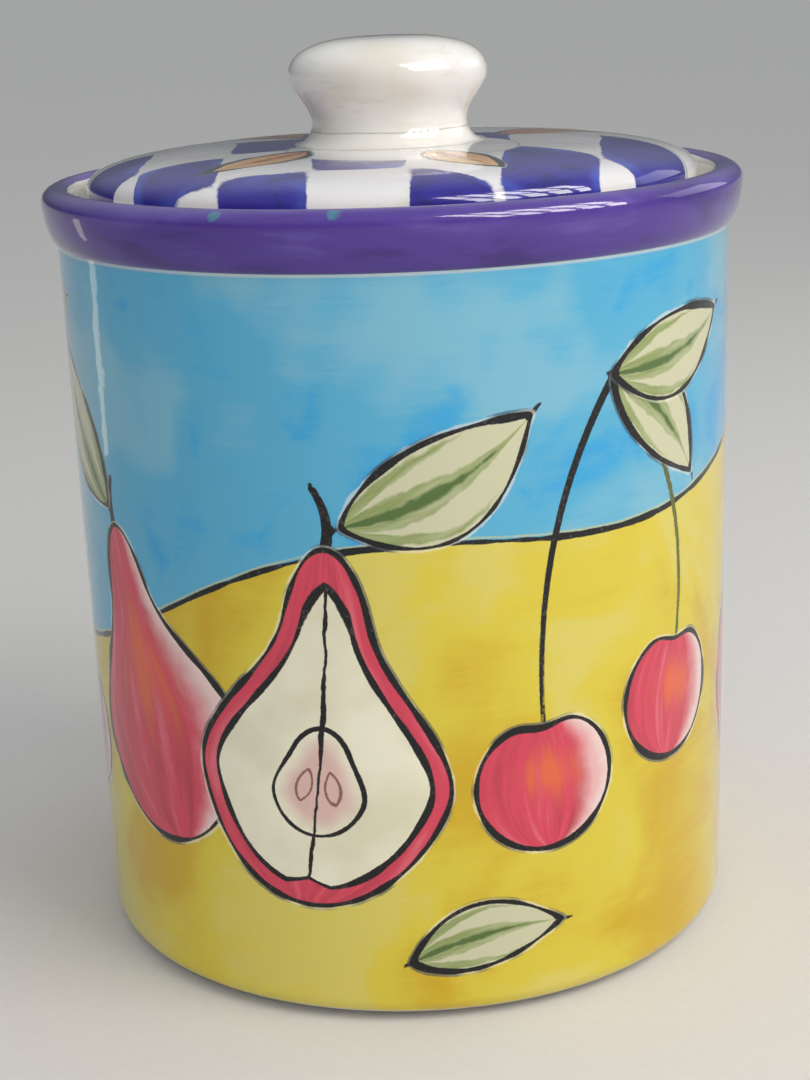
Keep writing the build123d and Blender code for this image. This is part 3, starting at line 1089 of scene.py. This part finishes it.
@dataclass
class Jar:
    """Wall with floor, foot ring, rim roll and gallery: all that stays on the table. Sizes in mm."""

    wall_thickness: float = 4.5
    floor_thickness: float = 6.0
    base_radius: float = 86.4
    base_corner: float = 5.0
    inner_corner: float = 8.0
    bead_overhang: float = 3.5
    bead_crest_drop: float = 3.5
    bead_crest_inset: float = 3.5
    bead_cap: float = 3.0
    bead_flank_power: float = 1.7       # under 2, the roll's underside is flatter than an ellipse
    bead_overlap: float = 0.4           # that the roll grips the wall
    gallery_lip: float = 4.5
    gallery_width: float = 9.5
    gallery_round: float = 1.2
    gallery_overlap: float = 0.3        # that the ledge reaches into the wall
    glaze_fillet: float = 1.6           # glaze that pools in the corner between gallery and wall
    foot_width: float = 7.0
    foot_wipe: float = 0.5              # rounding of its corners
    arc_radius: float = 88.0            # where distances around the painted wall are true
    white_inset: float = 2.0            # from the wall's outside to where its inside counts as plain white
    hill_slope: float = 0.93            # mm of distance to the hill line for one of height
    paint_step: float = 1.25            # between rings of the painted wall
    columns: int = 480

    def __post_init__(self) -> None:
        """Take the levels and radii from the frame."""
        wall_low, wall_high = corner("jar_body")
        bead_low, bead_high = corner("rim_bead")
        gallery_low, gallery_high = corner("lid_gallery")
        foot_high = corner("foot_ring")[1]
        self.base_level = wall_low[2]
        self.top_radius, _, self.wall_top = wall_high
        self.bead_low = bead_low[2]
        self.bead_radius, _, self.crest = bead_high
        self.gallery_low = gallery_low[2]
        self.gallery_level = gallery_high[2]
        self.foot_radius, _, self.foot_top = foot_high
        self.rim_inner = self.top_radius - self.wall_thickness
        self.floor_level = self.base_level + self.floor_thickness

    def hill_level(self, turn: np.ndarray) -> np.ndarray:
        """Level in mm of the painted hill line: two slow waves once and three times around the jar."""
        return 112 + 22 * np.cos(turn - 1.25) + 8 * np.cos(3 * turn + 0.8)

    def painting(self) -> Painting:
        """Pears, cherries and plums with their leaves, in five groups around the wall."""
        leaf, whole, halved = Kind.LEAF, Kind.WHOLE_FRUIT, Kind.HALVED_FRUIT
        back = Coat.BACK
        pear = {"neck": 0.62, "dimple": 0.02}
        cherry = {"dimple": 0.09}
        plum = {"dimple": 0.06}
        motifs = [
            Motif(whole, (-66, 42), -15, 84, 58, coat=back, tint=0.6, **pear),
            Motif(halved, (-29, 32), 6, 94, 66, bend=2, tint=0.2, **pear),
            Motif(leaf, (-15, 129), 62, 52, 24, bend=4),
            Motif(leaf, (-90, 126), -36, 46, 20, coat=back, bend=-3),
            Motif(leaf, (-2, 17), 80, 40, 17, bend=-3),
            Motif(whole, (35, 44), -4, 35, 37, tint=0.3, **cherry),
            Motif(whole, (74, 58), 6, 34, 36, tint=0.8, **cherry),
            Motif(leaf, (54, 160), 78, 46, 20, bend=3),
            Motif(leaf, (54, 160), 134, 42, 19, bend=-3, coat=back),
            Motif(whole, (142, 38), -8, 60, 58, tint=0.4, **plum),
            Motif(whole, (182, 52), 12, 56, 54, coat=back, tint=0.9, **plum),
            Motif(leaf, (150, 106), 28, 48, 21, bend=-3),
            Motif(leaf, (196, 112), 72, 40, 18, bend=3, coat=back),
            Motif(whole, (-254, 34), 10, 88, 60, tint=0.1, **pear),
            Motif(halved, (246, 44), -14, 84, 58, coat=back, tint=0.7, **pear),
            Motif(leaf, (-240, 128), -58, 50, 22, bend=4),
            Motif(leaf, (-222, 20), 74, 42, 18, bend=3),
            Motif(whole, (-126, 40), 4, 36, 38, tint=0.5, **cherry),
            Motif(whole, (-160, 58), -6, 34, 36, tint=0.2, **cherry),
            Motif(whole, (-190, 36), 8, 35, 36, tint=0.8, **cherry),
            Motif(leaf, (-154, 156), 64, 46, 20, bend=-3),
            Motif(leaf, (-154, 156), -74, 46, 20, bend=3),
        ]
        stems = [
            Stem((54, 160), (30, 128), (33, 76), 2.3),
            Stem((54, 160), (84, 130), (78, 89), 2.2, tone=1.0),
            Stem((-19, 124), (-17, 132), (-22, 139), 3.0),
            Stem((-86, 118), (-90, 126), (-87, 134), 2.8),
            Stem((-154, 156), (-126, 126), (-124, 73), 2.3),
            Stem((-154, 156), (-170, 126), (-164, 89), 2.1, tone=1.0),
            Stem((-154, 156), (-192, 124), (-186, 68), 2.2),
            Stem((135, 94), (138, 102), (136, 110), 2.8),
            Stem((193, 104), (198, 112), (196, 120), 2.6),
            Stem((-239, 118), (-236, 128), (-238, 136), 3.0),
        ]
        return Painting(motifs, stems, around=2 * math.pi * self.arc_radius)

    def wall_outline(self) -> np.ndarray:
        """Profile of floor and wall, from the middle underneath, up outside, over and down to the floor."""
        corner_middle = (self.base_radius - self.base_corner, self.base_level + self.base_corner)
        base_inner = self.base_radius - self.wall_thickness
        floor_middle = (base_inner - self.inner_corner, self.floor_level + self.inner_corner)
        painted = line((self.base_radius, corner_middle[1]), (self.top_radius, self.bead_low))
        return profile(
            even(line((0, self.base_level), (corner_middle[0], self.base_level)), spacing=12),
            even(arc(corner_middle, (self.base_corner, self.base_corner), -90, 0), spacing=0.8),
            even(painted, self.paint_step),
            line((self.top_radius, self.bead_low), (self.top_radius, self.wall_top)),
            line((self.rim_inner, self.wall_top), (self.rim_inner, self.gallery_low)),
            even(line((self.rim_inner, self.gallery_low), (base_inner, floor_middle[1])), spacing=15),
            even(arc(floor_middle, (self.inner_corner, self.inner_corner), 0, -90), spacing=1.6),
            even(line((floor_middle[0], self.floor_level), (0, self.floor_level)), spacing=12),
        )

    def build_wall(self) -> None:
        """Wall with its painting."""
        solid = Revolved(self.wall_outline(), self.columns)
        points = solid.points()
        turn = np.arctan2(points[:, 0], -points[:, 1])
        values = self.painting().values(np.column_stack([turn * self.arc_radius, points[:, 2]]))
        values["hill_edge"] = (points[:, 2] - self.hill_level(turn)) * self.hill_slope
        material = LandscapeGlaze().material(self.base_radius - self.white_inset, self.bead_low)
        dress(solid.build("painted_wall", values), "jar", "jar_body", material)

    def build_rim(self) -> None:
        """Rolled rim: a flat-flanked roll outside, an elliptic crest and a short slope inside."""
        widest = self.crest - self.bead_crest_drop
        crest_radius = self.rim_inner + self.bead_crest_inset
        inside = self.top_radius - self.bead_overlap
        flank_axes = (self.bead_overhang, widest - self.bead_low)
        crest_axes = (self.bead_radius - crest_radius, self.bead_crest_drop)
        slope_axes = (self.bead_crest_inset, self.bead_cap)
        outline = profile(
            even(arc((self.top_radius, widest), flank_axes, -90, 0, self.bead_flank_power), spacing=0.7),
            even(arc((crest_radius, widest), crest_axes, 0, 90), spacing=0.6),
            even(arc((crest_radius, self.wall_top), slope_axes, 90, 180), spacing=0.6),
            line((inside, self.wall_top), (inside, self.bead_low)),
        )
        piece = Revolved(outline, columns=360).build("rim_roll")
        dress(piece, "jar", "rim_bead", PurpleGlaze().material(self.rim_inner))

    def build_gallery(self) -> None:
        """Ledge for the lid, its lip rounded and its corner with the wall filled by pooled glaze."""
        lip, top, fillet, soft = self.gallery_lip, self.gallery_level, self.glaze_fillet, self.gallery_round
        outer, middle = self.rim_inner + self.gallery_overlap, self.rim_inner - self.gallery_width + soft
        outline = profile(
            line((outer, self.gallery_low), (outer, top + fillet)),
            even(arc((self.rim_inner - fillet, top + fillet), (fillet, fillet), 0, -90), spacing=0.4),
            even(arc((middle, top - soft), (soft, soft), 90, 180), spacing=0.4),
            even(arc((middle, top - lip + soft), (soft, soft), 180, 230), spacing=0.4),
        )
        piece = Revolved(outline).build("gallery_ledge")
        dress(piece, "jar", "lid_gallery", WhiteGlaze().material())

    def build_foot(self) -> None:
        """Foot ring, its corners wiped round."""
        wiped = self.foot_wipe
        outer, inner = self.foot_radius, self.foot_radius - self.foot_width
        outline = profile(
            even(arc((inner + wiped, wiped), (wiped, wiped), 180, 270), spacing=0.25),
            even(arc((outer - wiped, wiped), (wiped, wiped), 270, 360), spacing=0.25),
            line((outer, self.foot_top), (inner, self.foot_top)),
        )
        piece = Revolved(outline).build("wiped_foot")
        dress(piece, "jar", "foot_ring", BiscuitClay().material())

    def build(self) -> None:
        """Build and dress every piece of the jar."""
        self.build_wall()
        self.build_rim()
        self.build_gallery()
        self.build_foot()


# --- The lid ---


@dataclass
class Lid:
    """Cap, locating ring and grip: all that lifts off. Sizes in mm."""

    edge_level: float = 4.5             # widest point above the ledge
    edge_roll: float = 2.5
    crown_powers: Pair = (4.0, 3.15)    # of radius and of height, in the crown's curve
    thickness: float = 6.0
    hollow_shoulder: float = 18.0
    flange_thickness: float = 4.7
    flange_edge: float = 1.5
    neck_radius: float = 20.3
    neck_level: float = 5.5             # above the grip's seat
    widest_level: float = 17.7          # above the grip's seat
    foot_radius: float = 25.0
    foot_edge: float = 0.05
    top_powers: Pair = (3.0, 2.2)       # the same for the grip's top
    hand: Hand = Hand(oval=0.1, lobes=0.05, phase=2.0)
    grip_hand: Hand = Hand(oval=0.12, lobes=0.06, phase=0.3)
    columns: int = 480
    check_columns: tuple[float, ...] = (-84, -61.5, -41, -19, 4, 27, 50.5, 74, 97)     # left to right
    check_slips: tuple[float, ...] = (-4, -3, 2, 0, 0, 0, -4, 0)        # that each column sits further back
    check_rows: tuple[Triple, ...] = (  # level on the axis, bow at the left and right
        (-160, 0.0, 0.016),
        (-60.5, -0.001, 0.024),
        (-14.5, 0.005, 0.0113),
        (34, 0.0, 0.0),
        (82, 0.0, 0.0),
    )
    check_lean: float = 0.095           # slope of the right half's columns, outwards to the back
    lean_start: float = 25.0            # to the right, where that slope is reached
    lean_level: float = -46.0           # where a leaning column is at its own place
    border_middle: Pair = (-3.0, -40.0)     # of the line around the checks
    border_half: Pair = (76.0, 60.0)    # its half-axes
    border_power: float = 2.3
    border_drop: float = 1.5            # below the widest point, where the checks end
    collar_middle: Pair = (3.0, -20.0)  # of the bare white around the grip
    collar_radius: float = 30.0
    collar_line: float = 3.6            # up the grip's flare

    def __post_init__(self) -> None:
        """Take the levels and radii from the frame."""
        cap_low, cap_high = corner("lid_dome")
        flange_low, flange_high = corner("lid_flange")
        self.radius, _, self.crown = cap_high
        self.seat = cap_low[2]
        self.widest = self.seat + self.edge_level
        self.flange_radius = flange_high[0]
        self.flange_low = flange_low[2]
        self.flange_inner = self.flange_radius - self.flange_thickness
        self.grip_radius, _, self.grip_top = corner("lid_knob")[1]

    def checks(self, points: np.ndarray) -> np.ndarray:
        """Where each point lies among the checks.

        A column is a strip between two of check_columns, leaning at the right. A row ends at a level b - c x^2
        that bows forward at the sides, with c given left and right. The outer border is a superellipse that
        runs off the lid in front, and the inner one is a circle around the grip.

        Args:
            points: rows of x, y, z in mm.

        Returns:
            Rows of column, row and mm outside the borders; whole numbers are the checks' sides.
        """
        x, y = points[:, 0], points[:, 1]
        upright = x - self.check_lean * np.clip(x / self.lean_start, 0, 1) * (y - self.lean_level)
        column = np.interp(upright, self.check_columns, np.arange(len(self.check_columns)))
        slip = np.array(self.check_slips)[np.minimum(column.astype(int), len(self.check_slips) - 1)]
        sides = [b + slip - np.where(x < 0, left, right) * x * x for b, left, right in self.check_rows]
        row = sum(np.clip((y - low) / (high - low), 0, 1) for low, high in zip(sides, sides[1:]))
        power = self.border_power
        shares = np.abs(points[:, :2] - np.array(self.border_middle)) / np.array(self.border_half)
        outer = ((shares ** power).sum(1) ** (1 / power) - 1) * np.mean(self.border_half)
        inner = self.collar_radius - np.hypot(*(points[:, :2] - np.array(self.collar_middle)).T)
        border = np.clip(np.maximum(outer, inner), -FAR, FAR)
        border[self.underneath(points)] = FAR
        return np.column_stack([column, row, border])

    def underneath(self, points: np.ndarray) -> np.ndarray:
        """Which points in mm lie in the cap's hollow or below its edge, where nothing is painted."""
        hollow = np.hypot(points[:, 0], points[:, 1]) < self.flange_inner + 1
        hollow &= points[:, 2] < self.crown - self.thickness / 2
        return hollow | (points[:, 2] < self.widest - self.border_drop)

    def painting(self) -> Painting:
        """Plain leaves that point outwards from the grip."""
        leaf = Kind.LEAF
        return Painting([
            Motif(leaf, (-21, -21), -141, 37, 14, bend=-3, tint=0.5),
            Motif(leaf, (10, -31), 152, 34, 14, bend=2),
            Motif(leaf, (28, 10), 62, 42, 17, bend=-3, tint=0.8),
            Motif(leaf, (-24, 22), -40, 42, 17, bend=3, tint=0.3),
        ])

    def dome(self, radius: float, low: float, high: float, powers: Pair, count: int) -> np.ndarray:
        """Curve (r/R)^m + (h/H)^n = 1 from its widest point to the axis, a flat top with a full shoulder.

        Args:
            radius: R in mm.
            low: level in mm of its widest point.
            high: level in mm of its top.
            powers: m and n.
            count: points along it.

        Returns:
            Rows of (radius, level).
        """
        t = np.linspace(0, np.pi / 2, count)
        curve = [radius * np.cos(t) ** (2 / powers[0]), low + (high - low) * np.sin(t) ** (2 / powers[1])]
        rows = np.column_stack(curve)
        rows[-1, 0] = 0
        return rows

    def cap_outline(self) -> np.ndarray:
        """Profile of the cap, from the middle of its hollow, out, round the edge and over the crown."""
        hollow = self.crown - self.thickness
        flat = self.flange_inner - self.hollow_shoulder
        edge = self.radius - self.edge_roll
        crown = self.dome(self.radius, self.widest, self.crown, self.crown_powers, 900)
        return profile(
            even(line((0, hollow), (flat, hollow)), spacing=10),
            even(arc((flat, self.seat), (self.hollow_shoulder, hollow - self.seat), 90, 0), spacing=1.5),
            line((self.flange_inner, self.seat), (edge, self.seat)),
            even(arc((edge, self.widest), (self.edge_roll, self.edge_level), 270, 360), spacing=0.8),
            even(crown, spacing=1.1),
        )

    def build_cap(self) -> None:
        """Cap with its checks and leaves."""
        solid = Revolved(self.cap_outline(), self.columns, self.hand)
        points = solid.points()
        values = self.painting().values(points[:, :2].copy())
        underneath = self.underneath(points)
        for key, numbers in values.items():
            if key.endswith("_edge"):
                numbers[underneath] = FAR
        values["check_place"] = self.checks(points)
        piece = solid.build("checked_cap", values)
        leaves = FruitColours(leaf="#dcae70", leaf_lobe="#cd7f33", leaf_rib="#96501f")
        finish = CheckGlaze(shapes=BrushedShapes(Brush(raggedness=0.5), leaves))
        dress(piece, "lid", "lid_dome", finish.material())

    def build_ring(self) -> None:
        """Locating ring under the cap, its lower corners softened by glaze."""
        soft, inner, outer = self.flange_edge, self.flange_inner, self.flange_radius
        low = self.flange_low + soft
        outline = profile(
            line((inner, self.seat), (inner, low)),
            even(arc((inner + soft, low), (soft, soft), 180, 270), spacing=0.4),
            even(arc((outer - soft, low), (soft, soft), 270, 360), spacing=0.4),
            line((outer, low), (outer, self.seat)),
        )
        piece = Revolved(outline, hand=self.hand).build("locating_ring")
        dress(piece, "lid", "lid_flange", WhiteGlaze().material())

    def build_grip(self) -> None:
        """Knob: flared foot, waist and head, with a level half-wave of radius between neck and head."""
        neck, widest = self.crown + self.neck_level, self.crown + self.widest_level
        flare_axes = (self.foot_radius - self.neck_radius, self.neck_level - self.foot_edge)
        level = np.linspace(neck, widest, 60)
        swell = (1 - np.cos(np.pi * (level - neck) / (widest - neck))) / 2
        waist = np.column_stack([self.neck_radius + (self.grip_radius - self.neck_radius) * swell, level])
        head = self.dome(self.grip_radius, widest, self.grip_top, self.top_powers, 400)
        outline = profile(
            even(line((0, self.crown), (self.foot_radius, self.crown)), spacing=12),
            even(arc((self.foot_radius, neck), flare_axes, 270, 180), spacing=0.5),
            even(waist, spacing=0.7),
            even(head, spacing=0.8),
        )
        piece = Revolved(outline, hand=self.grip_hand).build("turned_grip")
        dress(piece, "lid", "lid_knob", WhiteGlaze().material(self.crown + self.collar_line))

    def build(self) -> None:
        """Build and dress every piece of the lid."""
        self.build_cap()
        self.build_ring()
        self.build_grip()


# --- Studio ---


@dataclass(frozen=True)
class Lamp:
    """A rectangular lamp that the camera doesn't see."""

    name: str
    place: Vector                       # mm
    target: Vector                      # mm, a point that it faces
    size: Pair                          # mm, its width and height
    power: float                        # watts
    colour: str
    diffuse: bool = True                # whether it lights surfaces
    glossy: bool = True                 # whether it shows as a reflection

    def hang(self) -> None:
        """Put the lamp in the scene."""
        data = bpy.data.lights.new(self.name, "AREA")
        data.shape = "RECTANGLE"
        data.size, data.size_y = self.size[0] * MM, self.size[1] * MM
        data.energy = self.power
        data.color = linear(self.colour)[:3]
        lamp = bpy.data.objects.new(self.name, data)
        lamp.location = self.place * MM
        lamp.rotation_euler = (self.target - self.place).to_track_quat("-Z", "Y").to_euler()
        lamp.visible_camera = False
        lamp.visible_diffuse = self.diffuse
        lamp.visible_glossy = self.glossy
        bpy.context.scene.collection.objects.link(lamp)


@dataclass
class Studio:
    """Pale seamless floor, soft lamps and the camera."""

    eye: Triple = (0.0, -532.4, 253.3)  # mm
    pitch: float = 15.96            # degrees down
    roll: float = -2.143            # degrees
    focal: float = 66.67            # mm on a 36 mm side
    floor_colour: str = "#d9d6d1"
    floor_half: float = 60000.0     # mm, so that the floor's end lies outside the picture
    floor_grain: float = 3.0        # mm
    floor_tone: Ramp = (0.3, 0.7, 0.97, 1.0)
    shaded_side: str = "#484c50"
    bright_side: str = "#767a7e"
    zenith: str = "#d2d6da"
    sky: Ramp = (0.1, 0.75)         # heights on a unit ball between which it brightens to the zenith
    jar_middle: Triple = (0.0, 0.0, 170.0)      # mm, what the lamps point at
    window: Triple = (640.0, -480.0, 790.0)     # mm, middle of the key window
    pane: Pair = (125.0, 330.0)     # mm, its width and height
    bar: float = 60.0               # mm between two panes
    pane_columns: int = 5
    pane_rows: int = 2
    pane_power: float = 2.3         # watts, seen as a reflection alone
    key_power: float = 6.2          # watts, the window's soft light
    fill_power: float = 4.0         # watts
    card_power: float = 0.02        # watts
    wall_power: float = 1.3         # watts
    daylight: str = "#fffaf2"

    def camera(self) -> None:
        """Camera that looks along +Y, down by the pitch, and turned about its own axis by the roll."""
        pitch, roll = math.radians(self.pitch), math.radians(self.roll)
        forward = Vector((0, math.cos(pitch), -math.sin(pitch)))
        right = Vector((1, 0, 0))
        up = right.cross(forward)
        across = math.cos(roll) * right + math.sin(roll) * up
        above = math.cos(roll) * up - math.sin(roll) * right
        data = bpy.data.cameras.new("camera")
        data.lens = self.focal
        data.sensor_width = 36.0
        camera = bpy.data.objects.new("camera", data)
        turn = Matrix((across, above, -forward)).transposed().to_4x4()
        camera.matrix_world = Matrix.Translation(Vector(self.eye) * MM) @ turn
        bpy.context.scene.collection.objects.link(camera)
        bpy.context.scene.camera = camera

    def floor(self) -> None:
        """Level floor, one square."""
        half = self.floor_half * MM
        mesh = bpy.data.meshes.new("floor")
        square = [(-half, -half, 0), (half, -half, 0), (half, half, 0), (-half, half, 0)]
        mesh.from_pydata(square, [], [(0, 1, 2, 3)])
        floor = bpy.data.objects.new("floor", mesh)
        bpy.context.scene.collection.objects.link(floor)
        shader = Shader("studio_paper")
        grain = shader.add(Node.NOISE, shader.place, per_mm(self.floor_grain), 3.0)
        tone = shader.add(Node.RANGE, grain, *self.floor_tone)
        colour = shader.add(Node.MIX, tone, "#000000", self.floor_colour)
        surface = shader.add(Node.PRINCIPLED, **{"Base Color": colour, "Roughness": 0.9})
        shader.add(Node.OUTPUT, surface)
        mesh.materials.append(shader.holder)

    def lamps(self) -> None:
        """Window of panes at the right with its key light, a fill in front, a card left and a wall right."""
        middle, jar = Vector(self.window), Vector(self.jar_middle)
        aim = (jar - middle).normalized()
        across = aim.cross(Vector((0, 0, 1))).normalized()
        up = across.cross(aim)
        for row in range(self.pane_rows):
            for column in range(self.pane_columns):
                right = (column - (self.pane_columns - 1) / 2) * (self.pane[0] + self.bar)
                above = (row - (self.pane_rows - 1) / 2) * (self.pane[1] + self.bar)
                place = middle + across * right + up * above
                looks = {"power": self.pane_power, "colour": self.daylight, "diffuse": False}
                Lamp(f"pane_{row}_{column}", place, place + aim, self.pane, **looks).hang()
        fill, card, wall = Vector((150, -1350, 520)), Vector((-579, 275, 55)), Vector((900, 420, 520))
        left, right = Vector((-74, -48, 150)), Vector((80, 0, 200))
        Lamp("key", middle, jar, (700, 600), self.key_power, self.daylight, glossy=False).hang()
        Lamp("fill", fill, jar, (900, 900), self.fill_power, "#fbfbff", glossy=False).hang()
        Lamp("card", card, left, (42, 110), self.card_power, "#fff2dc", diffuse=False).hang()
        Lamp("wall", wall, right, (650, 420), self.wall_power, "#f6f4ff").hang()

    def world(self) -> None:
        """Soft surroundings, shaded at the left, bright at the right and overhead."""
        shader = Shader("studio", "worlds", "Generated")
        parts = shader.add(Node.SEPARATE, shader.place)
        side = shader.add(Node.RANGE, parts, -1.0)
        around = shader.add(Node.MIX, side, self.shaded_side, self.bright_side)
        rise = shader.add(Node.RANGE, parts.node.outputs["Z"], *self.sky)
        colour = shader.add(Node.MIX, rise, around, self.zenith)
        shader.add(Node.WORLD_OUTPUT, shader.add(Node.BACKGROUND, colour))
        bpy.context.scene.world = shader.holder

    def build(self) -> None:
        """Set up everything around the object."""
        self.camera()
        self.floor()
        self.lamps()
        self.world()
        bpy.context.scene.view_settings.view_transform = "Standard"


def main() -> None:
    """Load the frame and build the jar, its lid and the studio."""
    logging.basicConfig(level=logging.INFO, format="%(name)s: %(message)s")
    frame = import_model()
    LOG.info("nodes: %s", ", ".join(sorted(frame["nodes"])))
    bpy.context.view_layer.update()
    Jar().build()
    Lid().build()
    Studio().build()
    bpy.context.view_layer.update()


if __name__ == "__main__":
    main()
